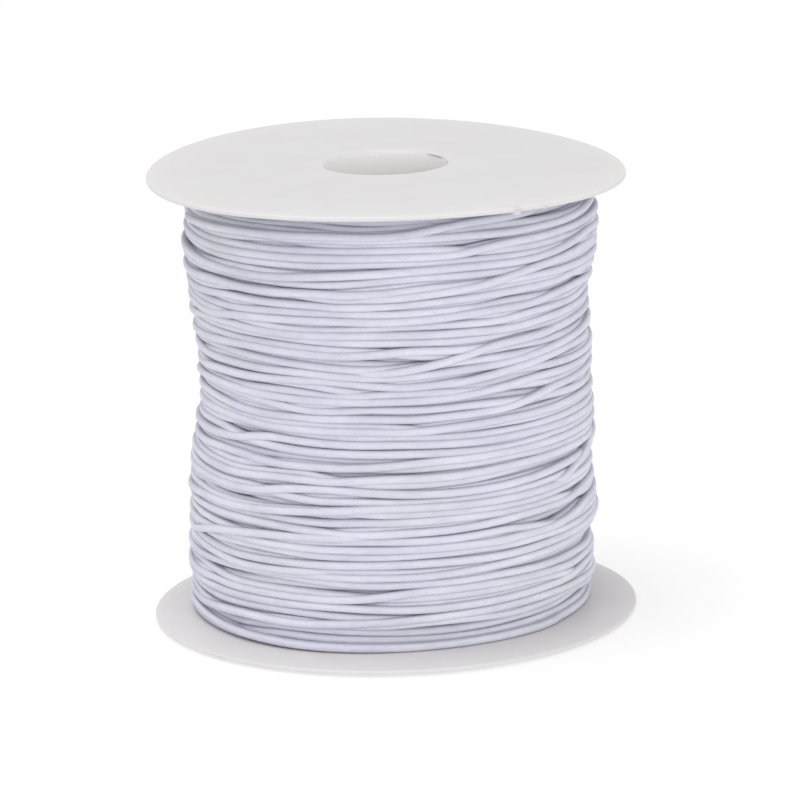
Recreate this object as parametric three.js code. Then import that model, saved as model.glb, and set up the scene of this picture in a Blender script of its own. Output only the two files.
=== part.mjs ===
// A roll of thin white shirring elastic, wound on a white moulded spool.
// Millimetres, +Z up along the spool's axis. The origin is the middle of the
// spool's underside, and -Y is the side that faces the viewer.

import * as THREE from "three";

// The spool.
const SPOOL_HEIGHT = 46;
const TOP_FLANGE_DIAMETER = 47.7;
const BOTTOM_FLANGE_DIAMETER = 48.7;
const FLANGE_THICKNESS = 1.2;
const FLANGE_EDGE_ROUND = 0.35;
const FLANGE_HOLE_DIAMETER = 12;
const HUB_DIAMETER = 14.4;
const HUB_BORE_DIAMETER = 11.4;
const HUB_END_BEVEL = 0.3;
const PART_GAP = 0.3;

// The winding.
const CORD_DIAMETER = 1;
const TURN_PITCH = 0.99;
const GROOVE_DEPTH = 0.42;
const END_LEVEL_MARGIN = 0.12;

// How finely the round shapes are divided.
const SPOOL_SIDES = 72;
const HUB_SIDES = 48;
const WINDING_COLUMNS = 50;
const EDGE_ROUND_STEPS = 3;

const FULL_TURN = Math.PI * 2;
const WINDING_BOTTOM = FLANGE_THICKNESS + PART_GAP;
const WINDING_TOP = SPOOL_HEIGHT - FLANGE_THICKNESS - PART_GAP;
const WINDING_INNER_RADIUS = HUB_DIAMETER / 2 + PART_GAP;

// How far the winding reaches at its left and right side. Each row is one
// height. It is drawn in at half height, and full towards both flanges.
const SIDE_RADII = [
  { height: 1.5, left: 20.6, right: 20.7 },
  { height: 5.5, left: 20.6, right: 20.6 },
  { height: 8.5, left: 20.7, right: 20.2 },
  { height: 11.2, left: 20.7, right: 20.8 },
  { height: 14, left: 20.7, right: 20.3 },
  { height: 17, left: 20.3, right: 20.3 },
  { height: 20, left: 19.7, right: 20.4 },
  { height: 23.5, left: 19.0, right: 20.4 },
  { height: 27, left: 19.5, right: 20.3 },
  { height: 31.5, left: 19.7, right: 20.5 },
  { height: 35, left: 20.0, right: 20.7 },
  { height: 38.5, left: 20.2, right: 21.2 },
  { height: 41.5, left: 20.1, right: 21.0 },
  { height: 44.5, left: 20.2, right: 20.7 },
];

// Low, wide swells of the layers underneath. Each row is one wave: its height
// in millimetres, how many times it goes round, how much its crest climbs over
// one millimetre of height, in radians, and where it starts.
const SWELLS = [
  { depth: 0.16, round: 2, climb: 0.31, start: 0.6 },
  { depth: 0.12, round: 3, climb: -0.47, start: 2.1 },
  { depth: 0.09, round: 5, climb: 0.83, start: 4.0 },
];

// Places where the turns crowd, part or ride over each other. Angles are in
// degrees, and 270 is the front. "lift" moves the turns along the axis, and
// "rise" moves them outwards, or inwards where it is negative.
const UNEVEN_PLACES = [
  { angle: 291, height: 42.2, degrees: 16, reach: 1.0, lift: 0.55, rise: 0.35 },
  { angle: 259, height: 42.3, degrees: 9, reach: 0.7, lift: -0.3, rise: -0.35 },
  { angle: 251, height: 40.1, degrees: 8, reach: 0.7, lift: 0.3, rise: -0.3 },
  { angle: 327, height: 38.9, degrees: 14, reach: 1.2, lift: -0.5, rise: 0.4 },
  { angle: 269, height: 29.4, degrees: 10, reach: 0.8, lift: 0.3, rise: -0.35 },
  { angle: 232, height: 26.5, degrees: 15, reach: 1.1, lift: -0.45, rise: 0.25 },
  { angle: 344, height: 19.2, degrees: 12, reach: 1.0, lift: 0.5, rise: 0.35 },
  { angle: 338, height: 15.4, degrees: 14, reach: 1.1, lift: -0.45, rise: 0.3 },
  { angle: 251, height: 14.3, degrees: 9, reach: 0.7, lift: 0.35, rise: -0.4 },
  { angle: 212, height: 12.4, degrees: 20, reach: 1.3, lift: -0.6, rise: 0.35 },
  { angle: 218, height: 9.9, degrees: 14, reach: 1.0, lift: 0.5, rise: 0.35 },
  { angle: 0, height: 10.9, degrees: 24, reach: 0.6, lift: 0.1, rise: 0.4 },
  { angle: 226, height: 3.5, degrees: 9, reach: 0.7, lift: 0.3, rise: -0.3 },
  { angle: 30, height: 33, degrees: 20, reach: 1.2, lift: 0.5, rise: 0.3 },
  { angle: 62, height: 21.5, degrees: 16, reach: 1.1, lift: -0.5, rise: 0.35 },
  { angle: 95, height: 38, degrees: 18, reach: 1.1, lift: 0.5, rise: 0.3 },
  { angle: 118, height: 8.6, degrees: 20, reach: 1.2, lift: -0.5, rise: 0.35 },
  { angle: 143, height: 29, degrees: 15, reach: 1.0, lift: 0.45, rise: -0.3 },
  { angle: 168, height: 17, degrees: 17, reach: 1.2, lift: 0.5, rise: 0.3 },
  { angle: 84, height: 12.8, degrees: 12, reach: 0.8, lift: -0.3, rise: -0.35 },
];

const whitePlastic = new THREE.Color(0.86, 0.86, 0.87);
const paleLavender = new THREE.Color(0.82, 0.83, 0.9);

const plasticMaterial = () =>
  new THREE.MeshStandardMaterial({ color: whitePlastic, roughness: 0.42, metalness: 0 });

const elasticMaterial = () =>
  new THREE.MeshStandardMaterial({ color: paleLavender, roughness: 0.85, metalness: 0 });

// A quarter round of an edge, as profile points from one angle to another.
function edgeRound(centerRadius, centerHeight, startAngle, endAngle) {
  const points = [];
  for (let step = 0; step <= EDGE_ROUND_STEPS; step += 1) {
    const angle = startAngle + ((endAngle - startAngle) * step) / EDGE_ROUND_STEPS;
    points.push(new THREE.Vector2(
      centerRadius + FLANGE_EDGE_ROUND * Math.cos(angle),
      centerHeight + FLANGE_EDGE_ROUND * Math.sin(angle),
    ));
  }
  return points;
}

// One flange: a flat ring with a round hole and soft edges, its underside at
// height zero.
function flangeGeometry(diameter) {
  const hole = FLANGE_HOLE_DIAMETER / 2 + FLANGE_EDGE_ROUND;
  const rim = diameter / 2 - FLANGE_EDGE_ROUND;
  const low = FLANGE_EDGE_ROUND;
  const high = FLANGE_THICKNESS - FLANGE_EDGE_ROUND;
  const quarter = Math.PI / 2;
  const profile = [
    ...edgeRound(hole, low, 2 * quarter, 3 * quarter),
    ...edgeRound(rim, low, -quarter, 0),
    ...edgeRound(rim, high, 0, quarter),
    ...edgeRound(hole, high, quarter, 2 * quarter),
  ];
  profile.push(profile[0].clone());
  return new THREE.LatheGeometry(profile, SPOOL_SIDES);
}

// The tube between the flanges that the elastic is wound on. Its bore is a
// little narrower than the flanges' holes, so its bevelled end shows inside.
function hubGeometry() {
  const inner = HUB_BORE_DIAMETER / 2;
  const outer = HUB_DIAMETER / 2;
  const low = FLANGE_THICKNESS + PART_GAP;
  const high = SPOOL_HEIGHT - FLANGE_THICKNESS - PART_GAP;
  const profile = [
    new THREE.Vector2(inner, low + HUB_END_BEVEL),
    new THREE.Vector2(inner + HUB_END_BEVEL, low),
    new THREE.Vector2(outer, low),
    new THREE.Vector2(outer, high),
    new THREE.Vector2(inner + HUB_END_BEVEL, high),
    new THREE.Vector2(inner, high - HUB_END_BEVEL),
    new THREE.Vector2(inner, low + HUB_END_BEVEL),
  ];
  return new THREE.LatheGeometry(profile, HUB_SIDES);
}

// The left and right reach at a height, eased between the rows above.
function sideRadiiAt(height) {
  const last = SIDE_RADII.length - 1;
  let row = 0;
  while (row < last - 1 && height > SIDE_RADII[row + 1].height) row += 1;
  const below = SIDE_RADII[row];
  const above = SIDE_RADII[row + 1];
  const blend = THREE.MathUtils.smoothstep(height, below.height, above.height);
  return {
    left: THREE.MathUtils.lerp(below.left, above.left, blend),
    right: THREE.MathUtils.lerp(below.right, above.right, blend),
  };
}

// The radius of the cords' crests, before the uneven places.
function crestRadius(angle, height) {
  const { left, right } = sideRadiiAt(height);
  let radius = (left + right) / 2 + ((right - left) / 2) * Math.cos(angle);
  for (const { depth, round, climb, start } of SWELLS) {
    radius += depth * Math.sin(round * angle + climb * height + start);
  }
  return radius;
}

// How far an uneven place moves a point: a soft bell round its middle.
function unevenShift(angle, height) {
  const shift = { lift: 0, rise: 0 };
  for (const place of UNEVEN_PLACES) {
    const turned = angle - THREE.MathUtils.degToRad(place.angle);
    const across = Math.atan2(Math.sin(turned), Math.cos(turned));
    const round = across / THREE.MathUtils.degToRad(place.degrees);
    const along = (height - place.height) / place.reach;
    const bell = Math.exp(-round * round - along * along);
    shift.lift += place.lift * bell;
    shift.rise += place.rise * bell;
  }
  return shift;
}

function onWinding(radius, angle, height) {
  return [radius * Math.cos(angle), radius * Math.sin(angle), height];
}

// The winding is a ring round the hub whose outside is one long screw: crest
// and groove take turns, and both climb by one pitch on each turn. The points
// are the bottom and top rims of the ring, inner then outer, and then a crest
// and the groove above it for every step along the screw.
function windingGeometry() {
  const columns = WINDING_COLUMNS;
  const climb = WINDING_TOP - WINDING_BOTTOM - CORD_DIAMETER;
  const turns = Math.floor(climb / TURN_PITCH);
  const pitch = climb / turns;
  const steps = turns * columns;
  const positions = [];
  const faces = [];
  const low = WINDING_BOTTOM;
  const high = WINDING_TOP;
  const rings = [
    { radius: () => WINDING_INNER_RADIUS, height: low },
    { radius: (angle) => crestRadius(angle, low) - GROOVE_DEPTH, height: low },
    { radius: (angle) => crestRadius(angle, high) - GROOVE_DEPTH, height: high },
    { radius: () => WINDING_INNER_RADIUS, height: high },
  ];
  for (const ring of rings) {
    for (let column = 0; column < columns; column += 1) {
      const angle = (FULL_TURN * column) / columns;
      positions.push(...onWinding(ring.radius(angle), angle, ring.height));
    }
  }
  for (let step = 0; step <= steps; step += 1) {
    const angle = (FULL_TURN * (step % columns)) / columns;
    const start = low + CORD_DIAMETER / 2 + (pitch * (step - columns / 2)) / columns;
    for (const { part, inward } of [{ part: 0, inward: 0 }, { part: 0.5, inward: GROOVE_DEPTH }]) {
      const middle = start + pitch * part;
      const { lift, rise } = unevenShift(angle, middle);
      const level = THREE.MathUtils.clamp(
        middle + lift,
        low + END_LEVEL_MARGIN * (1 + part),
        high - END_LEVEL_MARGIN * (2 - part),
      );
      positions.push(...onWinding(crestRadius(angle, level) + rise - inward, angle, level));
    }
  }
  const ringPoint = (ring, column) => ring * columns + (column % columns);
  const crest = (step) => rings.length * columns + 2 * step;
  const groove = (step) => crest(step) + 1;
  const band = (lowerLeft, lowerRight, upperRight, upperLeft) => {
    faces.push(lowerLeft, lowerRight, upperRight, lowerLeft, upperRight, upperLeft);
  };
  for (let column = 0; column < columns; column += 1) {
    const next = column + 1;
    band(ringPoint(1, column), ringPoint(0, column), ringPoint(0, next), ringPoint(1, next));
    band(ringPoint(0, column), ringPoint(3, column), ringPoint(3, next), ringPoint(0, next));
    band(ringPoint(3, column), ringPoint(2, column), ringPoint(2, next), ringPoint(3, next));
  }
  for (let step = 0; step < steps; step += 1) {
    band(crest(step), crest(step + 1), groove(step + 1), groove(step));
  }
  for (let step = 0; step < steps - columns; step += 1) {
    const above = step + columns;
    band(groove(step), groove(step + 1), crest(above + 1), crest(above));
  }
  for (let column = 0; column < columns; column += 1) {
    band(ringPoint(1, column), ringPoint(1, column + 1), crest(column + 1), crest(column));
    const last = steps - columns + column;
    band(groove(last), groove(last + 1), ringPoint(2, column + 1), ringPoint(2, column));
  }
  faces.push(ringPoint(1, 0), crest(0), groove(0));
  faces.push(ringPoint(1, 0), groove(0), crest(columns));
  faces.push(ringPoint(2, 0), groove(steps), crest(steps));
  faces.push(ringPoint(2, 0), crest(steps), groove(steps - columns));
  const geometry = new THREE.BufferGeometry();
  geometry.setAttribute("position", new THREE.Float32BufferAttribute(positions, 3));
  geometry.setIndex(faces);
  return geometry;
}

// The lathe turns its profile round Y, so what it makes is stood up along Z.
function turnedPiece(name, geometry, height) {
  const piece = new THREE.Mesh(geometry, plasticMaterial());
  piece.name = name;
  piece.rotation.x = Math.PI / 2;
  piece.position.z = height;
  return piece;
}

function winding() {
  const piece = new THREE.Mesh(windingGeometry(), elasticMaterial());
  piece.name = "winding";
  return piece;
}

const roll = new THREE.Group();
roll.add(turnedPiece("flange_bottom", flangeGeometry(BOTTOM_FLANGE_DIAMETER), 0));
roll.add(turnedPiece("hub", hubGeometry(), 0));
roll.add(winding());
roll.add(turnedPiece(
  "flange_top",
  flangeGeometry(TOP_FLANGE_DIAMETER),
  SPOOL_HEIGHT - FLANGE_THICKNESS,
));

export default roll;
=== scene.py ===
"""A roll of thin white shirring elastic on a white moulded spool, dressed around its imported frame.

Shapes are worked out in millimetres and put into Blender in metres. +Z runs up the
spool's axis, -Y is the side that faces the viewer and angles are counted from +X.
"""

import math

import bpy
import numpy as np
from mathutils import Matrix, Vector


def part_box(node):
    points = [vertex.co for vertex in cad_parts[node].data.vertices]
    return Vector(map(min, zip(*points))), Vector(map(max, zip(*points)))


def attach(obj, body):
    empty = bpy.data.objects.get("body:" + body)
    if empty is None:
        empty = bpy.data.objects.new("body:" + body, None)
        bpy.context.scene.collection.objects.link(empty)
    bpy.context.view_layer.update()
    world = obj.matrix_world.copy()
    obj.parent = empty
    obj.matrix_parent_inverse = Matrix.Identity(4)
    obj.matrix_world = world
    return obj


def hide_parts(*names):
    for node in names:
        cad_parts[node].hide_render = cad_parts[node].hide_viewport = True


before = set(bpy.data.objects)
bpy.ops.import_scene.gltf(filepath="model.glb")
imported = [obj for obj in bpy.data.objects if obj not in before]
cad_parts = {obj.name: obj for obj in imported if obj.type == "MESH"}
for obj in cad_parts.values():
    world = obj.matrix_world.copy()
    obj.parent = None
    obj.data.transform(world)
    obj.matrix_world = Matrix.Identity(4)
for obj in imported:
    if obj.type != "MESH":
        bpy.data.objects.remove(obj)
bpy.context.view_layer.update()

bl_info = {
    "name": "Shirring elastic roll",
    "version": (1, 0, 0),
    "blender": (4, 5, 0),
    "location": "3D View > Sidebar > Elastic Roll",
    "description": "Builds a spool wound with thin round elastic, with its stage",
    "category": "Add Mesh",
}

METRES = 0.001
BODY = "root"
PLASTIC_SLOT = "spool_plastic"
CORD_SLOT = "elastic_cord"
WINDING_NODE = "winding"


def box_in_millimetres(node):
    """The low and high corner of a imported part."""
    low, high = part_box(node)
    return Vector(low) / METRES, Vector(high) / METRES


top_low, top_high = box_in_millimetres("flange_top")
_, foot_high = box_in_millimetres("flange_bottom")
_, hub_high = box_in_millimetres("hub")

TOP_RADIUS = top_high.x
FOOT_RADIUS = foot_high.x
FLANGE_THICKNESS = top_high.z - top_low.z
SPOOL_HEIGHT = top_high.z
HUB_RADIUS = hub_high.x
WOUND_LOW = foot_high.z
WOUND_HIGH = top_low.z

# The winding is worked out on a grid: one column a degree, starting at the back,
# and a row every ROW_STEP. No cord reaches the radius WALL.
COLUMNS = 360
ROW_STEP = 0.05
ROWS = int(round((WOUND_HIGH - WOUND_LOW) / ROW_STEP)) + 1
BACK = 90
HEIGHTS = WOUND_LOW + ROW_STEP * np.arange(ROWS)
MEAN_RADIUS = 20.0
ARC_STEP = MEAN_RADIUS * 2 * np.pi / COLUMNS
WALL = 26.0

# How a turn is laid: the columns in which it leaves the line of the turn before,
# the columns before and after it that its bridging sees, the steepest slope that
# it feels, and the share of a step it may slide at once and stay steady.
EASE_COLUMNS = 40
LEAD_IN = 40
LEAD_OUT = 20
STEEPEST = 2.0
STEADY_SHARE = 0.45

# How near to a flange turns crowd, and how much of their rise is pressed away there.
CROWD_REACH = 1.2
CROWD_SHARE = 0.8

# What is left of the cord's thickness at both hidden ends of a piece, and the
# sides of a strand that crosses over the others.
END_TAPER = 0.05
STRAND_SIDES = 16

# Slow sines of the guiding hand: times a turn, and share of the pass's wander.
GUIDE_SINES = ((0.37, 1.0), (0.83, 0.8), (1.31, 0.7), (1.9, 0.5), (2.7, 0.35))

# How far the wound cord reaches at its sides: height, left reach and right reach.
SIDES = (
    (1.2, 20.6, 19.7),
    (5.5, 20.6, 20.1),
    (8.5, 20.5, 20.2),
    (11.2, 20.7, 20.8),
    (14, 20.7, 20.3),
    (17, 20.3, 20.3),
    (20, 19.4, 20.4),
    (23.5, 18.7, 20.4),
    (27, 19.2, 20.1),
    (31.5, 19.7, 20.4),
    (35, 20.0, 20.7),
    (38.5, 20.2, 21.4),
    (41.5, 20.0, 21.0),
    (43.2, 19.7, 20.1),
    (44.8, 19.1, 18.9),
)
SIDE_HEIGHTS, LEFT_REACH, RIGHT_REACH = np.array(SIDES).T

# Low, wide swells: depth, times round, climb in radians a millimetre, start.
SWELLS = ((0.16, 2, 0.31, 0.6), (0.12, 3, -0.47, 2.1), (0.09, 5, 0.83, 4.0))

# The passes of the cord, from the inside out: turns, how much the guide wanders,
# how deep the pass lies under the crest, steps a turn and sides of the cord.
PASSES = (
    (44, 0.08, 1.75, 60, 6),
    (27, 0.20, 1.45, 90, 8),
    (26, 0.20, 1.20, 120, 8),
    (28, 0.20, 0.95, 120, 8),
    (27, 0.20, 0.70, 180, 12),
    (30, 0.20, 0.48, 180, 16),
    (27, 0.20, 0.28, 180, 16),
)

# Places where neighbouring turns part: angle and its spread in degrees, height,
# reach and opening in millimetres.
PARTINGS = (
    (257, 9, 42.9, 0.8, 1.5),
    (246, 9, 40.2, 0.8, 0.9),
    (269, 9, 29.7, 0.8, 0.8),
    (251, 9, 14.4, 0.8, 1.7),
    (226, 9, 3.4, 0.8, 1.7),
    (246, 8, 2.6, 0.7, 0.8),
    (324, 8, 9.7, 0.8, 0.8),
    (297, 8, 5.8, 0.8, 0.7),
    (266, 8, 38.2, 0.8, 0.8),
    (226, 8, 38.6, 0.8, 0.8),
    (282, 8, 31.0, 0.8, 0.7),
    (264, 8, 24.6, 0.8, 1.7),
    (240, 8, 21.0, 0.8, 0.8),
    (245, 8, 18.2, 0.8, 0.9),
    (260, 8, 16.9, 0.8, 0.9),
    (236, 8, 7.4, 0.8, 0.8),
    (263, 8, 3.5, 0.7, 0.7),
)

# Strands that cross over the others, each as the angles and heights it passes.
CROSSING_STRANDS = (
    ((160, 41.6), (190, 42.0), (224, 42.5), (251, 42.7), (271, 42.6), (282, 43.0), (291, 43.4), (345, 43.5)),
    ((240, 36.4), (270, 36.7), (296, 37.3), (313, 38.3), (339, 38.9), (372, 39.6)),
    ((238, 28.9), (270, 29.2), (286, 30.0), (300, 31.2), (326, 31.4), (350, 31.1)),
    ((262, 27.3), (288, 27.7), (307, 28.4), (328, 29.0), (345, 29.1), (375, 29.2)),
    ((165, 8.0), (180, 9.2), (199, 10.8), (213, 12.0), (231, 12.6), (257, 12.9), (285, 13.1)),
    ((165, 11.2), (182, 10.3), (195, 9.7), (207, 9.3), (222, 8.9), (245, 9.2), (275, 9.5)),
    ((150, 2.6), (197, 2.3), (217, 1.9), (245, 1.7), (280, 1.6), (320, 1.6), (352, 1.8)),
    ((300, 15.0), (325, 15.6), (345, 17.4), (365, 19.0), (390, 19.6)),
    ((20, 34.6), (50, 35.0), (80, 36.6), (115, 37.2), (150, 37.0)),
    ((45, 22.0), (75, 22.3), (100, 20.7), (130, 20.2), (160, 20.3)),
    ((70, 8.2), (95, 8.6), (120, 10.2), (150, 10.8)),
)

# Flash left on the upper rim where the mould met: angle, width and how far it hangs.
MOULD_MARKS = ((301.7, 1.2, 0.42), (309.6, 0.6, 0.2))

# Thin flash on the upper hole's edge: first and last angle, radius, height and thickness.
HOLE_FLASH = ((20, 48, 6.08, 45.92, 0.15), (-6, 12, 6.1, 45.9, 0.13))


def turned(degrees):
    """The angle in radians of a column counted from the back, one a degree."""
    return np.radians(BACK + np.asarray(degrees, float))


def eased(share):
    """A share from 0 to 1, flat at both ends: 3x^2 - 2x^3."""
    return share * share * (3 - 2 * share)


def eased_rows(height, values):
    """The value at a height, eased from row to row."""
    row = np.clip(np.searchsorted(SIDE_HEIGHTS, height) - 1, 0, len(SIDES) - 2)
    low, high = SIDE_HEIGHTS[row], SIDE_HEIGHTS[row + 1]
    share = eased(np.clip((height - low) / (high - low), 0, 1))
    return values[row] * (1 - share) + values[row + 1] * share


def crest_radius(angle, height):
    """The winding's outer radius: half the sum of both sides' reach, plus half
    their difference times the cosine of the angle, plus the swells' sines."""
    left = eased_rows(height, LEFT_REACH)
    right = eased_rows(height, RIGHT_REACH)
    radius = (left + right) / 2 + (right - left) / 2 * np.cos(angle)
    for depth, times, climb, start in SWELLS:
        radius = radius + depth * np.sin(times * angle + climb * height + start)
    return radius


def upper_flange_drop(angle, radius, spool):
    """The upper flange is warped a little, as soft plastic is. At its rim it
    hangs by an even share, a tilt times the cosine of the angle from its lowest
    side and a saddle times the cosine of twice that from its own. All this
    grows with the radius squared."""
    tilt = spool.tilt * np.cos(angle - spool.tilt_angle)
    saddle = spool.saddle * np.cos(2 * (angle - spool.saddle_angle))
    share = (radius**2 - HUB_RADIUS**2) / (TOP_RADIUS**2 - HUB_RADIUS**2)
    return (spool.droop + tilt + saddle) / METRES * np.clip(share, 0, 1)


class WoundSurface:
    """The height field that each new turn of cord is laid on and pressed into."""

    def __init__(self, cord, spool):
        self.contact = cord.contact_diameter / METRES / 2
        self.reach = int(self.contact / ROW_STEP)
        offsets = np.arange(-self.reach, self.reach + 1) * ROW_STEP
        self.section = np.sqrt(np.maximum(self.contact**2 - offsets**2, 0))
        angles = turned(np.arange(COLUMNS))
        ceiling = WOUND_HIGH - upper_flange_drop(angles, MEAN_RADIUS, spool)
        self.lowest = WOUND_LOW + self.contact
        self.highest = ceiling - self.contact
        angle, height = np.meshgrid(angles, HEIGHTS, indexing="ij")
        self.ideal = crest_radius(angle, height)
        self.radius = self.ideal - PASSES[0][2] - 2 * self.contact
        self.radius[height > ceiling[:, None]] = WALL

    def support(self, line, columns, half=1.6):
        """Where a cord's middle would lie beside a line: the greatest sum of the
        surface and the cord's own half round, over its width."""
        side = int(half / ROW_STEP)
        base = (line - WOUND_LOW) / ROW_STEP
        first = np.floor(base).astype(int)
        share = (base - first)[:, None]
        span = np.arange(-side - self.reach, side + self.reach + 2)
        rows = first[:, None] + span[None, :]
        inside = (rows >= 0) & (rows < ROWS)
        window = self.radius[columns[:, None], np.clip(rows, 0, ROWS - 1)]
        window = np.where(inside, window, WALL)
        window = window[:, :-1] * (1 - share) + window[:, 1:] * share
        count = 2 * side + 1
        table = np.full((len(line), count), -WALL)
        for step, rise in enumerate(self.section):
            table = np.maximum(table, window[:, step : step + count] + rise)
        return table, side

    def slope(self):
        """The slope along the axis of the surface's soft average, with the wanted
        shape taken out. The average is 12 columns and 16 rows wide."""
        rough = np.minimum(self.radius - self.ideal, 0)
        for axis, width, mode in ((0, 12, "wrap"), (1, 16, "edge")):
            span = np.arange(-3 * width, 3 * width + 1)
            weights = np.exp(-(span**2) / (2 * width**2))
            weights /= weights.sum()
            pad = [(0, 0), (0, 0)]
            pad[axis] = (3 * width, 3 * width)
            padded = np.pad(rough, pad, mode=mode)
            rough = np.apply_along_axis(np.convolve, axis, padded, weights, "valid")
        return np.gradient(rough, ROW_STEP, axis=1)

    def press(self, heights, radii, columns):
        """Raises the surface to the laid cord's round back."""
        middle = np.round((heights - WOUND_LOW) / ROW_STEP).astype(int)
        rows = middle[:, None] + np.arange(-self.reach - 1, self.reach + 2)[None, :]
        across = WOUND_LOW + rows * ROW_STEP - heights[:, None]
        back = radii[:, None] + np.sqrt(np.maximum(self.contact**2 - across**2, 0))
        inside = (np.abs(across) <= self.contact) & (rows >= 0) & (rows < ROWS)
        columns = np.broadcast_to(columns[:, None], rows.shape)
        np.maximum.at(self.radius, (columns[inside], rows[inside]), back[inside])


def read_table(table, side, line, heights):
    """The table's value at each height, between its two nearest entries."""
    place = np.clip((heights - line) / ROW_STEP + side, 0, 2 * side - 0.001)
    first = place.astype(int)
    share = place - first
    rows = np.arange(len(line))
    return table[rows, first] * (1 - share) + table[rows, first + 1] * share


def slide(surface, table, side, line, start, before, friction, rounds=320):
    """The cord slides sideways under tension: its path's curvature less the
    support's slope over the radius, where that beats friction."""
    slopes = np.clip(np.gradient(table, ROW_STEP, axis=1), -STEEPEST, STEEPEST)
    pace = STEADY_SHARE * ARC_STEP**2
    heights = start.copy()
    for _ in range(rounds):
        downhill = read_table(slopes, side, line, heights) / MEAN_RADIUS
        ends = np.concatenate([[before], heights, [2 * heights[-1] - heights[-2]]])
        bend = (ends[2:] - 2 * ends[1:-1] + ends[:-2]) / ARC_STEP**2
        pull = bend - downhill
        moving = np.sign(pull) * np.maximum(np.abs(pull) - friction / MEAN_RADIUS, 0)
        heights = np.clip(heights + pace * moving, surface.lowest, surface.highest)
    return heights


def bridge(radii, before, reach=16):
    """A cord under tension spans hollows in a straight line. In u = 1 / radius a
    straight line through two points gives (u1 + u2) / (2 cos a) half way."""
    inverse = 1 / np.concatenate([before, radii])
    for _ in range(2):
        best = inverse.copy()
        for step in range(1, reach + 1):
            chord = 2 * np.cos(step * 2 * np.pi / COLUMNS)
            middle = (inverse[: -2 * step] + inverse[2 * step :]) / chord
            best[step:-step] = np.minimum(best[step:-step], middle)
        inverse = best
    return 1 / inverse[len(before) :]


def flattened(radii, angles, heights, surface, depth, squash, rise):
    """Pressed by the turns above, the cord keeps only a share of its distance
    from the pass's wanted radius: one share of a rise and one of a dip."""
    wanted = crest_radius(angles, heights) - surface.contact - depth
    give = np.where(radii > wanted, rise, (1 + squash) / 2)
    return wanted + (radii - wanted) * give


def angle_bell(angle, middle, spread):
    """A soft bell over the angle round the spool, 1 at its middle."""
    across = angle - math.radians(middle)
    across = np.arctan2(np.sin(across), np.cos(across)) / math.radians(spread)
    return np.exp(-(across**2))


def guide_line(turns, upwards, wander, surface, rng):
    """The hand that guides the cord: an even climb with slow sines that don't
    repeat from turn to turn, and neighbours pushed apart where turns part."""
    turn = np.arange(turns * COLUMNS) / COLUMNS
    start, end = surface.lowest, surface.highest.max()
    if not upwards:
        start, end = end, start
    line = start + (end - start) * turn / turns
    for rate, share in GUIDE_SINES:
        phase = rng.uniform(0, 2 * np.pi)
        line = line + wander * share * np.sin(2 * np.pi * rate * turn + phase)
    angle = turned(turn * COLUMNS)
    for middle, spread, height, reach, opening in PARTINGS:
        beside = (line - height) / reach
        line = line + opening * beside * np.exp(-(beside**2)) * angle_bell(angle, middle, spread)
    return np.clip(line, surface.lowest, surface.highest.max())


def lay_pass(surface, number, cord, rng):
    """Lays one pass of the cord, a turn at a time, and returns its angles,
    heights and radii. Turns that crowd at a flange are pressed in further."""
    turns, wander, depth = PASSES[number][:3]
    guide = guide_line(turns, number % 2 == 0, wander, surface, rng)
    tilt = surface.slope()
    columns = np.arange(COLUMNS)
    angles = turned(columns)
    all_heights, all_radii = [], []
    before = guide[:1]
    radii_before = None
    for turn in range(turns):
        line = guide[turn * COLUMNS : (turn + 1) * COLUMNS]
        row = np.clip(np.round((line - WOUND_LOW) / ROW_STEP).astype(int), 0, ROWS - 1)
        line = line - cord.settling / METRES * tilt[columns, row]
        line = np.clip(line, surface.lowest, surface.highest)
        table, side = surface.support(line, columns)
        start = line + (before[-1] - line[0]) * np.exp(-columns / EASE_COLUMNS)
        heights = slide(surface, table, side, line, start, before[-1], cord.friction)
        radii = read_table(table, side, line, heights)
        room = np.minimum(surface.highest - heights, heights - surface.lowest)
        rise = cord.squash * (1 - CROWD_SHARE * np.clip(1 - room / CROWD_REACH, 0, 1))
        radii = flattened(radii, angles, heights, surface, depth, cord.squash, rise)
        if radii_before is None:
            radii_before = np.full(LEAD_IN, radii[0])
        padded = np.concatenate([radii, np.full(LEAD_OUT, radii[-1])])
        radii = bridge(padded, radii_before)[:COLUMNS]
        surface.press(heights, radii, columns)
        all_heights.append(heights)
        all_radii.append(radii)
        before, radii_before = heights, radii[-LEAD_IN:]
    angles = turned(np.arange(turns * COLUMNS))
    return angles, np.concatenate(all_heights), np.concatenate(all_radii)


def lay_strand(surface, stops, cord, softness=9):
    """Lays one strand over the others, along a soft line through its stops. It is
    pressed towards the last pass's depth."""
    stops = np.array(stops, float)
    degrees = np.arange(stops[0, 0], stops[-1, 0] + 1)
    line = softened(np.interp(degrees, stops[:, 0], stops[:, 1]), softness)
    columns = (degrees.astype(int) - BACK) % COLUMNS
    line = np.clip(line, surface.lowest, surface.highest[columns])
    table, side = surface.support(line, columns, half=2 * ROW_STEP)
    angles = np.radians(degrees)
    radii = read_table(table, side, line, line)
    squash = cord.strand_squash
    radii = flattened(radii, angles, line, surface, PASSES[-1][2], squash, squash)
    padded = np.concatenate([radii, np.full(LEAD_OUT, radii[-1])])
    radii = bridge(padded, np.full(LEAD_OUT, radii[0]))[: len(degrees)]
    surface.press(line, radii, columns)
    return angles, line, tuck_ends(radii)


def tuck_ends(radii, depth=1.6, degrees=36):
    """Both ends dive under their neighbours by a smooth step."""
    steps = np.arange(len(radii))
    for distance in (steps, steps[::-1]):
        radii = radii - depth * eased(np.clip(1 - distance / degrees, 0, 1))
    return radii


def softened(values, width):
    """A short bell average along the cord."""
    weights = np.hanning(2 * width + 3)
    weights /= weights.sum()
    return np.convolve(np.pad(values, width + 1, mode="edge"), weights, "valid")


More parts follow.
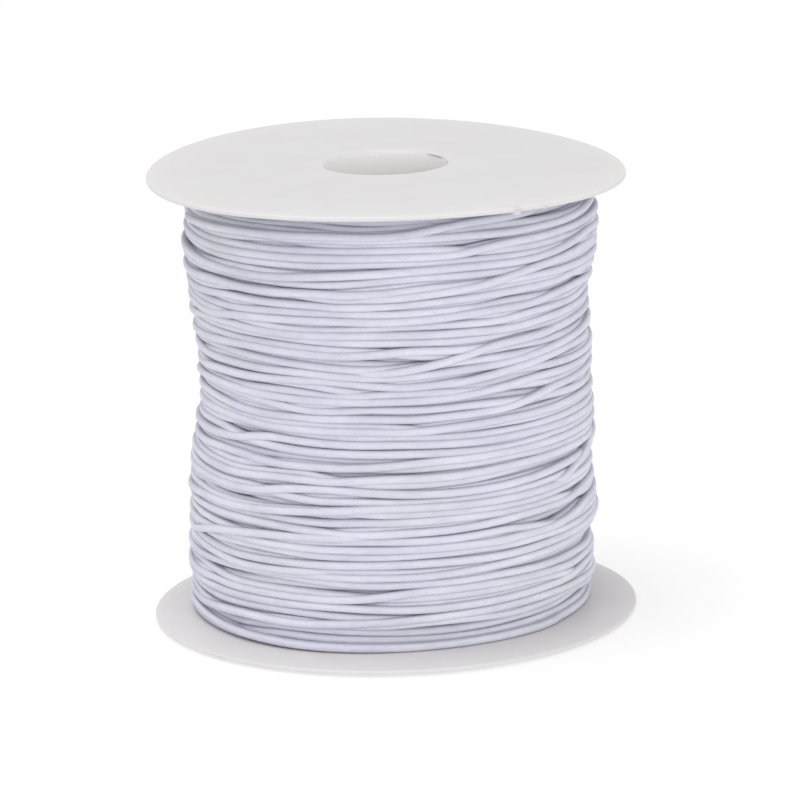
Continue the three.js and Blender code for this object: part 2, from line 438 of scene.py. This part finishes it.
def mesh_piece(name, points, quads, slot_name, material, uv=None):
    """A smooth mesh from an array of points in millimetres and one of quads."""
    mesh = bpy.data.meshes.new(name)
    quads = np.asarray(quads, np.int32)
    mesh.vertices.add(len(points))
    mesh.vertices.foreach_set("co", (np.asarray(points) * METRES).astype(np.float32).ravel())
    mesh.loops.add(quads.size)
    mesh.loops.foreach_set("vertex_index", quads.ravel())
    mesh.polygons.add(len(quads))
    mesh.polygons.foreach_set("loop_start", np.arange(0, quads.size, 4, dtype=np.int32))
    mesh.polygons.foreach_set("use_smooth", np.ones(len(quads), bool))
    if uv is not None:
        layer = mesh.uv_layers.new(name="UVMap")
        layer.data.foreach_set("uv", uv.astype(np.float32).ravel())
    mesh.update(calc_edges=True)
    mesh.validate()
    mesh.materials.append(material)
    piece = bpy.data.objects.new(name, mesh)
    bpy.context.scene.collection.objects.link(piece)
    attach(piece, BODY)
    return piece


def grid_quads(rows, columns, close_rows, close_columns):
    """The quads between neighbouring points of a grid, which may close on itself."""
    row = np.arange(rows if close_rows else rows - 1)
    column = np.arange(columns if close_columns else columns - 1)
    row, column = np.meshgrid(row, column, indexing="ij")
    next_row = (row + 1) % rows
    next_column = (column + 1) % columns
    corners = [(row, column), (next_row, column), (next_row, next_column), (row, next_column)]
    return np.stack([r * columns + c for r, c in corners], axis=-1).reshape(-1, 4)


def turned_points(profile, sides):
    """A profile turned once round the axis: each point goes to
    (r cos a, r sin a, z). Returns the angles too."""
    angle = 2 * np.pi * np.arange(sides) / sides
    points = np.empty((sides, len(profile), 3))
    points[..., 0] = np.outer(np.cos(angle), profile[:, 0])
    points[..., 1] = np.outer(np.sin(angle), profile[:, 0])
    points[..., 2] = profile[:, 1]
    return points, angle


def cord_mesh(name, angles, heights, radii, cord, sides, material):
    """A nearly round section carried along the cord: the middle, plus the cosine
    of the section's angle outwards and its sine along the axis, square to the
    cord, over (|cos|^n + |sin|^n)^(1/n), times the cord's radius."""
    cos, sin = np.cos(angles), np.sin(angles)
    middle = np.stack([radii * cos, radii * sin, heights], axis=-1)
    along = np.gradient(middle, axis=0)
    along /= np.linalg.norm(along, axis=1, keepdims=True)
    outward = np.stack([cos, sin, np.zeros_like(cos)], axis=-1)
    across = np.cross(along, outward)
    across /= np.linalg.norm(across, axis=1, keepdims=True)
    outward = np.cross(across, along)
    section = 2 * np.pi * np.arange(sides) / sides
    reach = (np.abs(np.cos(section)) ** cord.squareness + np.abs(np.sin(section)) ** cord.squareness)
    reach = reach ** (-1 / cord.squareness) * cord.diameter / METRES / 2
    ring = outward[:, None, :] * (reach * np.cos(section))[None, :, None]
    ring = ring + across[:, None, :] * (reach * cord.breadth * np.sin(section))[None, :, None]
    taper = np.ones(len(angles))
    taper[[0, -1]] = END_TAPER
    points = (middle[:, None, :] + ring * taper[:, None, None]).reshape(-1, 3)
    quads = grid_quads(len(angles), sides, False, True)
    length = np.concatenate([[0], np.cumsum(np.linalg.norm(np.diff(middle, axis=0), axis=1))])
    row, column = np.meshgrid(np.arange(len(angles) - 1), np.arange(sides), indexing="ij")
    corners = [(row, column), (row + 1, column), (row + 1, column + 1), (row, column + 1)]
    uv = np.stack([np.stack([length[r], c / sides], axis=-1) for r, c in corners], axis=2)
    piece = mesh_piece(name, points, quads, CORD_SLOT, material, uv.reshape(-1, 2))
    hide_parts(WINDING_NODE)
    return piece


class Wire:
    """A shader socket whose sums, differences and products are Math nodes."""

    def __init__(self, tree, socket):
        self.tree = tree
        self.socket = socket

    def math(self, operation, first, second=0.0):
        """A Math node on one or two values."""
        return self.tree.node("ShaderNodeMath", {"operation": operation}, {0: first, 1: second})[0]

    def __add__(self, other):
        return self.math("ADD", self, other)

    def __sub__(self, other):
        return self.math("SUBTRACT", self, other)

    def __rsub__(self, other):
        return self.math("SUBTRACT", other, self)

    def __mul__(self, other):
        return self.math("MULTIPLY", self, other)

    def __pow__(self, other):
        return self.math("POWER", self, other)

    __radd__ = __add__
    __rmul__ = __mul__

    def sine(self):
        """The sine of a value in radians."""
        return self.math("SINE", self)

    def size(self):
        """The value without its sign."""
        return self.math("ABSOLUTE", self)

    def larger(self, other):
        """The larger of two values."""
        return self.math("MAXIMUM", self, other)


class ShaderTree:
    """A material's nodes, made one by one from a type, settings and inputs."""

    def __init__(self, name):
        self.material = bpy.data.materials.new(name)
        self.material.use_nodes = True
        self.nodes = self.material.node_tree.nodes
        self.links = self.material.node_tree.links
        self.shader = next(node for node in self.nodes if node.type == "BSDF_PRINCIPLED")

    def plug(self, socket, value):
        """Links a wire to an input, or sets a constant on it."""
        if isinstance(value, Wire):
            self.links.new(value.socket, socket)
        else:
            socket.default_value = value

    def node(self, kind, settings=None, inputs=None):
        """Any node: its type, its settings and its inputs' values or wires.
        Returns its outputs."""
        made = self.nodes.new(kind)
        for key, value in (settings or {}).items():
            setattr(made, key, value)
        for key, value in (inputs or {}).items():
            self.plug(made.inputs[key], value)
        return [Wire(self, output) for output in made.outputs]

    def own_place(self):
        """The piece's own coordinates: the fourth output, named Object."""
        return self.node("ShaderNodeTexCoord")[3]

    def mixed(self, share, first, second, blend="MIX"):
        """Two colours mixed by a share from 0 to 1. The node's colour inputs are
        numbered 6 and 7, and its colour output 2."""
        colours = [c if isinstance(c, Wire) else (*c, 1.0) for c in (first, second)]
        settings = {"data_type": "RGBA", "blend_type": blend}
        return self.node("ShaderNodeMix", settings, {0: share, 6: colours[0], 7: colours[1]})[2]

    def noise(self, scale, detail=2.0, upwards=1.0):
        """A noise value over the piece's own coordinates, in features a metre,
        finer by a factor upwards."""
        squeeze = {"Vector": self.own_place(), "Scale": (1.0, 1.0, upwards)}
        place = self.node("ShaderNodeMapping", None, squeeze)[0]
        values = {"Vector": place, "Scale": scale, "Detail": detail}
        return self.node("ShaderNodeTexNoise", None, values)[0]

    def stretched(self, value, low, high):
        """A value stretched from low..high to 0..1 and clipped."""
        return self.node("ShaderNodeMapRange", None, {0: value, 1: low, 2: high})[0]

    def shaded(self, colour, share, shade):
        """A colour, multiplied by a shade where the share is 0."""
        shade = self.mixed(share, shade, (1.0, 1.0, 1.0))
        return self.mixed(1.0, colour, shade, "MULTIPLY")

    def bump(self, strength, distance, height):
        """The normal of a bump, its distance in metres."""
        values = {"Strength": strength, "Distance": distance, "Height": height}
        return self.node("ShaderNodeBump", None, values)[0]

    def finish(self, **values):
        """Sets the shader's inputs and returns the material."""
        for key, value in values.items():
            self.plug(self.shader.inputs[key.replace("_", " ")], value)
        return self.material


def plastic_material(colours, spool):
    """White moulded plastic: even, faintly clouded, a little see-through, with
    painted light in the bore, a lighter colour for light that comes through its
    wall. The painted light comes in below the outer faces, and ends at the holes' rounded edges."""
    # In metres: two depths below an outer face over which the bore's painted light fades in, two over which
    # it fades out towards the face, and two radii at the hole where it ends.
    painted_light_fade = (0.006, 0.002)
    painted_light_edge_fade = (0.0006, 0.0001)
    hole_edge = (0.00628, 0.00655)
    tree = ShaderTree("white_moulded_plastic")
    cloud = tree.stretched(tree.noise(160.0, 3.0), 0.35, 0.65)
    base = tuple(colours.plastic)
    warm = tuple(channel * share for channel, share in zip(base, (0.99, 0.98, 0.97)))
    across, deep, up = tree.node("ShaderNodeSeparateXYZ", None, {0: tree.own_place()})
    across = across - spool.offset
    radius = (across * across + deep * deep) ** 0.5
    middle = SPOOL_HEIGHT / 2 * METRES
    from_middle = (up - middle).size()
    # The bore's painted light: a share by depth below the outer face, cut off at the rounded edge and
    # outside the hole.
    bore = tree.stretched(from_middle, *(middle - depth for depth in painted_light_fade))
    edge = tree.stretched(from_middle, *(middle - depth for depth in painted_light_edge_fade))
    bore = bore * (1.0 - edge) * (1.0 - tree.stretched(radius, *hole_edge))
    return tree.finish(
        Base_Color=tree.mixed(bore, tree.mixed(cloud, base, warm), tuple(colours.plastic_bore_painted_light)),
        Roughness=0.36 + cloud * 0.1,
        Normal=tree.bump(0.05, 0.0001, tree.noise(5200.0)),
        Subsurface_Weight=0.35,
        Subsurface_Radius=(1.0, 0.98, 0.95),
        Subsurface_Scale=0.0016,
        Specular_IOR_Level=0.45,
    )


def cord_material(colours, cord):
    """White covered elastic: a fine crossing braid, a faint lavender cast and a
    soft nap, with painted shade down its flanks where cords press together and
    shade falls between them. The map runs along the cord in millimetres, and once round it."""
    tree = ShaderTree("covered_white_elastic")
    place = tree.node("ShaderNodeUVMap", {"uv_map": "UVMap"})[0]
    along, around, _ = tree.node("ShaderNodeSeparateXYZ", None, {0: place})
    lay = along * (2 * math.pi / (cord.braid_pitch / METRES))
    wrap = around * (2 * math.pi * cord.braid_strands)
    ribs = (lay + wrap).sine().larger((lay - wrap).sine())
    fibre = tree.noise(9000.0)
    # Painted shade down the flanks, where neighbouring cords touch: strongest at the section's sides, by its
    # sine to the fourth.
    flank = (around * (2 * math.pi)).sine().size() ** 4.0
    cool_cloud = tree.stretched(tree.noise(130.0), 0.42, 0.62)
    plain_cloud = tree.stretched(tree.noise(90.0, 1.0), 0.5, 0.7)
    tint = tree.mixed(cool_cloud, tuple(colours.cord), tuple(colours.cord_cool))
    tint = tree.mixed(plain_cloud, tint, tuple(colours.cord_plain))
    worn = tree.stretched(tree.noise(1500.0), 0.38, 0.62)
    braid = tree.stretched(ribs, -0.9, 0.9).larger(worn)
    tint = tree.shaded(tint, braid, (0.94, 0.94, 0.955))
    streaks = tree.stretched(tree.noise(750.0, 3.0, 6.0), 0.36, 0.64)
    tint = tree.shaded(tint, streaks, (0.93, 0.93, 0.94))
    length = {"W": along, "Scale": 0.09, "Detail": 2.0}
    stretch = tree.node("ShaderNodeTexNoise", {"noise_dimensions": "1D"}, length)[0]
    tint = tree.shaded(tint, tree.stretched(stretch, 0.35, 0.65), (0.9, 0.9, 0.915))
    # The flanks' painted shade is mixed into the tint here.
    tint = tree.mixed(flank * cord.flank_painted_shade, tint, tuple(colours.cord_flank_painted_shade))
    return tree.finish(
        Base_Color=tint,
        Roughness=0.62 + fibre * 0.2,
        Normal=tree.bump(0.4, 0.00004, ribs * 0.4 + fibre * 0.8),
        Subsurface_Weight=0.15,
        Subsurface_Radius=(1.0, 1.0, 1.0),
        Subsurface_Scale=0.0003,
        Specular_IOR_Level=0.4,
        Sheen_Weight=0.04,
        Sheen_Roughness=0.5,
    )


def length_setting(name, description, default):
    """A length in metres."""
    return bpy.props.FloatProperty(
        name=name, description=description, default=default, unit="LENGTH", precision=6
    )


def angle_setting(name, description, degrees):
    """An angle, its default given in degrees."""
    return bpy.props.FloatProperty(
        name=name, description=description, default=math.radians(degrees), subtype="ANGLE"
    )


def colour_setting(name, description, default):
    """A linear colour."""
    return bpy.props.FloatVectorProperty(
        name=name, description=description, default=default, subtype="COLOR"
    )


def share_setting(name, description, default):
    """A plain share or factor."""
    return bpy.props.FloatProperty(
        name=name, description=description, default=default, subtype="FACTOR"
    )


class RollSpoolSettings(bpy.types.PropertyGroup):
    """Sizes of the spool that its frame's boxes don't give."""

    hole_diameter: length_setting("Hole", "Across the hole in each flange", 0.012)
    bore_diameter: length_setting("Bore", "Across the inside of the hub", 0.0114)
    edge_round: length_setting("Edge round", "Radius of the flanges' soft edges", 0.0002)
    collar_length: length_setting("Collar", "Length of hub moulded with a flange", 0.008)
    hole_round: length_setting("Hole round", "Radius of the holes' soft outer edges", 0.0006)
    hole_lip: length_setting("Hole lip", "How far the upper face rises at the hole", 0.00006)
    crown_band: length_setting("Crown band", "Width of an outer face's falling band", 0.0045)
    crown: length_setting("Crown", "How far an outer face falls over its band", 0.0002)
    taper_band: length_setting("Taper band", "Width of an inner face's rising band", 0.0047)
    taper: length_setting("Taper", "How far an inner face rises over its band", 0.0006)
    offset: length_setting("Offset", "How far the upper flange sits to the right", 0.00028)
    droop: length_setting("Droop", "How far the upper rim hangs all round", 0.00037)
    tilt: length_setting("Tilt", "How much further it hangs at one side", 0.00048)
    tilt_angle: angle_setting("Tilt angle", "Side where the tilted rim hangs lowest", 323)
    saddle: length_setting("Saddle", "How far the upper rim hangs at two sides", 0.00035)
    saddle_angle: angle_setting("Saddle angle", "Where the saddle hangs lowest", 13)


class RollCordSettings(bpy.types.PropertyGroup):
    """The elastic cord and how it lies."""

    diameter: length_setting("Diameter", "Thickness of the elastic", 0.00095)
    contact_diameter: length_setting(
        "Contact diameter", "Between the middles of two cords that press together", 0.00083
    )
    breadth: share_setting("Breadth", "Width of the pressed cord over its thickness", 0.92)
    squareness: share_setting("Squareness", "Exponent of the section, 2 for a circle", 2.35)
    friction: share_setting("Friction", "Slope that a cord under tension stays on", 0.05)
    squash: share_setting("Squash", "Share of a crossing's rise that is left", 0.42)
    strand_squash: share_setting("Strand squash", "The same for the last strands", 0.5)
    settling: length_setting("Settling", "Way the guide moves downhill for a slope of one", 0.003)
    braid_pitch: length_setting("Braid pitch", "One repeat of the cover's braid", 0.00042)
    braid_strands: bpy.props.IntProperty(
        name="Braid strands",
        description="Ribs that the cover's braid shows round the cord",
        default=7,
    )
    # Flank shade is painted shade: how dark the flanks are painted where cords touch.
    flank_painted_shade: share_setting("Flank shade", "How dark the pressed flanks are", 0.72)
    seed: bpy.props.IntProperty(
        name="Seed",
        description="Start of the random numbers that make the guide wander",
        default=7,
    )


class RollColourSettings(bpy.types.PropertyGroup):
    """The finishes' colours."""

    plastic: colour_setting("Plastic", "White of the spool", (0.665, 0.655, 0.66))
    # Painted light inside the bore: a lighter white for light that comes through the wall.
    plastic_bore_painted_light: colour_setting("Bore", "Lighter white inside the bore", (0.93, 0.92, 0.915))
    cord: colour_setting("Cord", "White of the elastic, faintly lavender", (0.755, 0.745, 0.85))
    cord_cool: colour_setting("Cord, cool", "Cooler white it drifts to", (0.74, 0.755, 0.845))
    cord_plain: colour_setting("Cord, plain", "Plainer white it drifts to", (0.755, 0.755, 0.82))
    # The flank colour is painted shade between touching cords.
    cord_flank_painted_shade: colour_setting("Cord, flank", "Shade of the pressed flanks", (0.32, 0.32, 0.38))


class RollStageSettings(bpy.types.PropertyGroup):
    """Camera, floor and light."""

    distance: length_setting("Camera distance", "From the lens to the roll", 0.53)
    elevation: angle_setting("Camera elevation", "How far the camera looks down", 13.7)
    roll_angle: angle_setting("Camera roll", "How far the picture is turned", 1.7)
    focal_pixels: bpy.props.FloatProperty(
        name="Focal length",
        description="In pixels of a picture 800 pixels wide",
        default=5280.0,
    )
    room_light: share_setting("Room light", "Strength of the even light all round", 0.765)
    floor_glow: share_setting("Floor glow", "Light of the lit table", 0.58)


# The tiny bevels of the spool's hidden corners, and the gap between its mouldings.
SMALL_BEVEL = 0.04
MOULDING_GAP = 0.05

# How far the rise at the upper hole spreads.
LIP_REACH = 1.1

# Depths of two rings on the hole's long wall, under the inner face.
HOLE_RINGS = (1.0, 3.0)

# How many sides the turned pieces have.
FLANGE_SIDES = 256
HUB_SIDES = 128


def edge_arc(radius, middle_radius, middle_height, first, last, steps=6):
    """Points of an arc, from one angle in degrees to another."""
    angle = np.radians(np.linspace(first, last, steps))
    across = middle_radius + radius * np.cos(angle)
    return np.stack([across, middle_height + radius * np.sin(angle)], axis=-1)


def sloping_face(radius, outer_radius, band, fall):
    """How far a face has fallen: with the square of the way into the band at
    the rim."""
    return fall * (np.maximum(radius - outer_radius + band, 0) / band) ** 2


def flange_profile(spool, outer_radius, lip):
    """An upper flange's section, its inner face at height zero: an end of the
    hub moulded with it, soft edges, and two faces that slope towards each other
    at the rim. The outer face rises to the hole's lip as a bell."""
    edge = spool.edge_round / METRES
    hole = spool.hole_diameter / METRES / 2
    hole_round = spool.hole_round / METRES
    rim = outer_radius - edge
    taper = (spool.taper_band / METRES, spool.taper / METRES)
    crown = (spool.crown_band / METRES, spool.crown / METRES)
    collar = spool.collar_length / METRES
    inner_face = np.linspace(HUB_RADIUS + SMALL_BEVEL, rim, 50)
    inner_height = sloping_face(inner_face, outer_radius, *taper)
    outer_face = np.linspace(rim, hole + hole_round, 60)
    height = FLANGE_THICKNESS - sloping_face(outer_face, outer_radius, *crown)
    height = height + lip * np.exp(-(((outer_face - hole - hole_round) / LIP_REACH) ** 2))
    return np.concatenate([
        [(hole, SMALL_BEVEL - collar), (hole + SMALL_BEVEL, -collar)],
        [(HUB_RADIUS - SMALL_BEVEL, -collar), (HUB_RADIUS, SMALL_BEVEL - collar)],
        [(HUB_RADIUS, -SMALL_BEVEL)],
        np.stack([inner_face, inner_height], axis=-1),
        edge_arc(edge, rim, inner_height[-1] + edge, -90, 0)[1:],
        edge_arc(edge, rim, height[0] - edge, 0, 90)[:-1],
        np.stack([outer_face, height], axis=-1),
        edge_arc(hole_round, hole + hole_round, height[-1] - hole_round, 90, 180, 8)[1:],
        [(hole, -depth) for depth in HOLE_RINGS],
    ])


def hub_profile(spool):
    """The hub's middle, a tube between the two ends moulded with the flanges."""
    bore = spool.bore_diameter / METRES / 2
    low = WOUND_LOW + spool.collar_length / METRES + MOULDING_GAP
    high = WOUND_HIGH - spool.collar_length / METRES - MOULDING_GAP
    edge = 0.2
    return np.concatenate([
        edge_arc(edge, bore + edge, low + edge, 180, 270, 4),
        edge_arc(edge, HUB_RADIUS - edge, low + edge, -90, 0, 4),
        edge_arc(edge, HUB_RADIUS - edge, high - edge, 0, 90, 4),
        edge_arc(edge, bore + edge, high - edge, 90, 180, 4),
    ])


def core_points(surface, sides=120, levels=40, foot_gap=0.05, head_gap=0.8, hub_gap=0.1):
    """The wound cord's closed core: a ring from the hub out to a little under
    the innermost pass that is laid."""
    angle = 2 * np.pi * np.arange(sides) / sides
    height = np.linspace(WOUND_LOW + foot_gap, WOUND_HIGH - head_gap, levels)
    angle, height = np.meshgrid(angle, height, indexing="ij")
    radius = crest_radius(angle, height) - PASSES[0][2] - 1.5 * surface.contact
    inner = np.full((sides, 1), HUB_RADIUS + hub_gap)
    radius = np.concatenate([inner, radius, inner], axis=1)
    height = np.concatenate([height[:, :1], height, height[:, -1:]], axis=1)
    angle = np.concatenate([angle[:, :1], angle, angle[:, :1]], axis=1)
    points = np.stack([radius * np.cos(angle), radius * np.sin(angle), height], axis=-1)
    return points.reshape(-1, 3), grid_quads(sides, levels + 2, True, True)


class ROLL_OT_spool(bpy.types.Operator):
    """Turns both flanges and the hub, and adds the mould's marks"""

    bl_idname = "roll.spool"
    bl_label = "Spool"

    def execute(self, context):
        settings = context.scene.elastic_roll
        spool = settings.spool
        material = plastic_material(settings.colours, spool)
        profile = flange_profile(spool, TOP_RADIUS, spool.hole_lip / METRES)
        upper, angle = turned_points(profile + (0, WOUND_HIGH), FLANGE_SIDES)
        radius = np.hypot(upper[..., 0], upper[..., 1])
        upper[..., 2] -= upper_flange_drop(angle[:, None], radius, spool)
        upper[..., 0] += spool.offset / METRES
        mirrored = flange_profile(spool, FOOT_RADIUS, 0) * (1, -1)
        lower, _ = turned_points(mirrored[::-1] + (0, WOUND_LOW), FLANGE_SIDES)
        hub, _ = turned_points(hub_profile(spool), HUB_SIDES)
        for node, points in (("flange_top", upper), ("flange_bottom", lower), ("hub", hub)):
            name = f"{node}_turned"
            quads = grid_quads(*points.shape[:2], True, True)
            piece = mesh_piece(name, points.reshape(-1, 3), quads, PLASTIC_SLOT, material)
            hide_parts(node)
        for number, mark in enumerate(MOULD_MARKS):
            self.add_mark(f"mould_mark_{number + 1}", mark, spool, material)
        for number, flash in enumerate(HOLE_FLASH):
            self.add_flash(f"hole_flash_{number + 1}", flash, spool, material)
        return {"FINISHED"}

    def add_flash(self, name, flash, spool, material):
        """A thin ridge along the hole's edge: a small circle carried along an
        arc, its radius shrinking to the ends with the root of a half sine."""
        steps, sides, end = 30, 10, 0.004
        first, last, radius, height, thickness = flash
        share = np.linspace(0, 1, steps)
        angle = np.radians(first + (last - first) * share)[:, None]
        turn = 2 * np.pi * np.arange(sides)[None, :] / sides
        size = thickness / 2 * np.sqrt(np.sin(np.pi * np.clip(share, end, 1 - end)))[:, None]
        across = radius + size * np.cos(turn)
        points = np.stack([
            across * np.cos(angle) + spool.offset / METRES,
            across * np.sin(angle),
            height + size * np.sin(turn) + 0 * angle,
        ], axis=-1)
        quads = grid_quads(steps, sides, False, True)
        mesh_piece(name, points.reshape(-1, 3), quads, PLASTIC_SLOT, material)

    def add_mark(self, name, mark, spool, material):
        """A rounded blob of flash that hangs under the upper rim: a sphere
        stretched along the rim, which narrows to a tiny ring at both ends."""
        steps, sides, end = 12, 20, 0.02
        inset, sunk, thickness = 0.25, 0.05, 0.28
        degrees, width, hang = mark
        angle = math.radians(degrees)
        reach = TOP_RADIUS - inset
        height = WOUND_HIGH + spool.taper / METRES + sunk
        height -= float(upper_flange_drop(angle, TOP_RADIUS, spool))
        turn = 2 * np.pi * np.arange(sides) / sides
        climb = np.linspace(end, np.pi - end, steps)
        climb, turn = np.meshgrid(climb, turn, indexing="ij")
        along = width / 2 * np.cos(climb)
        out = thickness * np.sin(climb) * np.cos(turn)
        up = hang * np.sin(climb) * np.sin(turn)
        x = (reach + out) * math.cos(angle) - along * math.sin(angle) + spool.offset / METRES
        y = (reach + out) * math.sin(angle) + along * math.cos(angle)
        points = np.stack([x, y, height + up], axis=-1).reshape(-1, 3)
        mesh_piece(name, points, grid_quads(steps, sides, False, True), PLASTIC_SLOT, material)


class ROLL_OT_winding(bpy.types.Operator):
    """Winds the cord, pass after pass, over a smooth core"""

    bl_idname = "roll.winding"
    bl_label = "Winding"

    def execute(self, context):
        settings = context.scene.elastic_roll
        cord = settings.cord
        material = cord_material(settings.colours, cord)
        surface = WoundSurface(cord, settings.spool)
        core = mesh_piece("cord_core", *core_points(surface), CORD_SLOT, material)
        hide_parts(WINDING_NODE)
        rng = np.random.default_rng(cord.seed)
        for number, (_, _, _, steps, sides) in enumerate(PASSES):
            angles, heights, radii = lay_pass(surface, number, cord, rng)
            heights, radii = softened(heights, 2), softened(tuck_ends(radii), 2)
            kept = slice(None, None, COLUMNS // steps)
            name = f"cord_pass_{number + 1}"
            cord_mesh(name, angles[kept], heights[kept], radii[kept], cord, sides, material)
        for number, stops in enumerate(CROSSING_STRANDS):
            angles, heights, radii = lay_strand(surface, stops, cord)
            name = f"cord_crossing_{number + 1}"
            cord_mesh(name, angles, heights, radii, cord, STRAND_SIDES, material)
        return {"FINISHED"}


# The studio's softboxes: name, place and size in metres, and watts.
SOFTBOXES = (
    ("front_softbox", (0.26, -0.75, 0.42), 0.5, 1.65),
    ("left_softbox", (-0.2, -0.06, 0.87), 0.45, 2.4),
)


class ROLL_OT_stage(bpy.types.Operator):
    """Sets the pale floor, the soft studio light and the camera"""

    bl_idname = "roll.stage"
    bl_label = "Stage"

    def execute(self, context):
        stage = context.scene.elastic_roll.stage
        self.add_camera(context, stage)
        self.add_floor(context, stage)
        self.add_lights(context, stage)
        context.scene.view_settings.view_transform = "Standard"
        return {"FINISHED"}

    def add_camera(self, context, stage):
        """The camera looks down at the roll, turned a little about its own axis."""
        picture_width = 800
        right_of_middle, below_middle = 10.0, 12.8
        data = bpy.data.cameras.new("camera")
        data.sensor_width = 36.0
        data.lens = stage.focal_pixels / picture_width * data.sensor_width
        data.clip_start, data.clip_end = 0.01, 10.0
        camera = bpy.data.objects.new("camera", data)
        context.scene.collection.objects.link(camera)
        middle = Vector((0, 0, SPOOL_HEIGHT / 2 * METRES))
        back = Vector((0, -math.cos(stage.elevation), math.sin(stage.elevation)))
        up = Vector((0, math.sin(stage.elevation), math.cos(stage.elevation)))
        pixel = stage.distance / stage.focal_pixels
        aim = Vector((right_of_middle * pixel, 0, 0)) - up * (below_middle * pixel)
        place = middle + back * stage.distance
        turn = (middle + aim - place).to_track_quat("-Z", "Y").to_matrix().to_4x4()
        tilt = Matrix.Rotation(-stage.roll_angle, 4, "Z")
        camera.matrix_world = Matrix.Translation(place) @ turn @ tilt
        context.scene.camera = camera

    def add_floor(self, context, stage):
        """A wide pale table, a hair under the roll and faintly lit from within."""
        half, low = 3.0, -0.00005
        mesh = bpy.data.meshes.new("floor")
        corners = [(-half, -half, low), (half, -half, low), (half, half, low), (-half, half, low)]
        mesh.from_pydata(corners, [], [(0, 1, 2, 3)])
        tree = ShaderTree("pale_floor")
        material = tree.finish(
            Base_Color=(0.42, 0.42, 0.42, 1),
            Roughness=0.9,
            Specular_IOR_Level=0.1,
            Emission_Color=(1, 1, 1, 1),
            Emission_Strength=stage.floor_glow,
        )
        mesh.materials.append(material)
        floor = bpy.data.objects.new("floor", mesh)
        context.scene.collection.objects.link(floor)

    def add_lights(self, context, stage):
        """A bright even room, a wide light in front to the right and one at the
        left, higher up."""
        world = bpy.data.worlds.new("studio")
        world.use_nodes = True
        background = next(node for node in world.node_tree.nodes if node.type == "BACKGROUND")
        background.inputs["Color"].default_value = (1, 1, 1, 1)
        background.inputs["Strength"].default_value = stage.room_light
        context.scene.world = world
        for name, place, size, watts in SOFTBOXES:
            data = bpy.data.lights.new(name, "AREA")
            data.shape = "SQUARE"
            data.size = size
            data.energy = watts
            light = bpy.data.objects.new(name, data)
            context.scene.collection.objects.link(light)
            light.location = place
            aim = Vector((0, 0, SPOOL_HEIGHT / 2 * METRES)) - light.location
            light.rotation_mode = "QUATERNION"
            light.rotation_quaternion = aim.to_track_quat("-Z", "Y")


class RollSettings(bpy.types.PropertyGroup):
    """All settings of the roll."""

    spool: bpy.props.PointerProperty(type=RollSpoolSettings, name="Spool")
    cord: bpy.props.PointerProperty(type=RollCordSettings, name="Cord")
    colours: bpy.props.PointerProperty(type=RollColourSettings, name="Colours")
    stage: bpy.props.PointerProperty(type=RollStageSettings, name="Stage")


class ROLL_PT_panel(bpy.types.Panel):
    """Lists the steps that build the roll"""

    bl_idname = "ROLL_PT_panel"
    bl_label = "Elastic Roll"
    bl_space_type = "VIEW_3D"
    bl_region_type = "UI"
    bl_category = "Elastic Roll"

    def draw(self, context):
        settings = context.scene.elastic_roll
        for group in (settings.spool, settings.cord, settings.colours, settings.stage):
            box = self.layout.box()
            for name in group.__annotations__:
                box.prop(group, name)
        for operator in OPERATORS:
            self.layout.operator(operator.bl_idname)


OPERATORS = (ROLL_OT_stage, ROLL_OT_spool, ROLL_OT_winding)
CLASSES = (
    RollSpoolSettings,
    RollCordSettings,
    RollColourSettings,
    RollStageSettings,
    RollSettings,
    *OPERATORS,
    ROLL_PT_panel,
)


def register():
    for item in CLASSES:
        bpy.utils.register_class(item)
    bpy.types.Scene.elastic_roll = bpy.props.PointerProperty(type=RollSettings)


def unregister():
    del bpy.types.Scene.elastic_roll
    for item in reversed(CLASSES):
        bpy.utils.unregister_class(item)


def main():
    """Registers the classes and builds the roll."""
    register()
    bpy.ops.roll.stage()
    bpy.ops.roll.spool()
    bpy.ops.roll.winding()


if __name__ == "__main__":
    main()
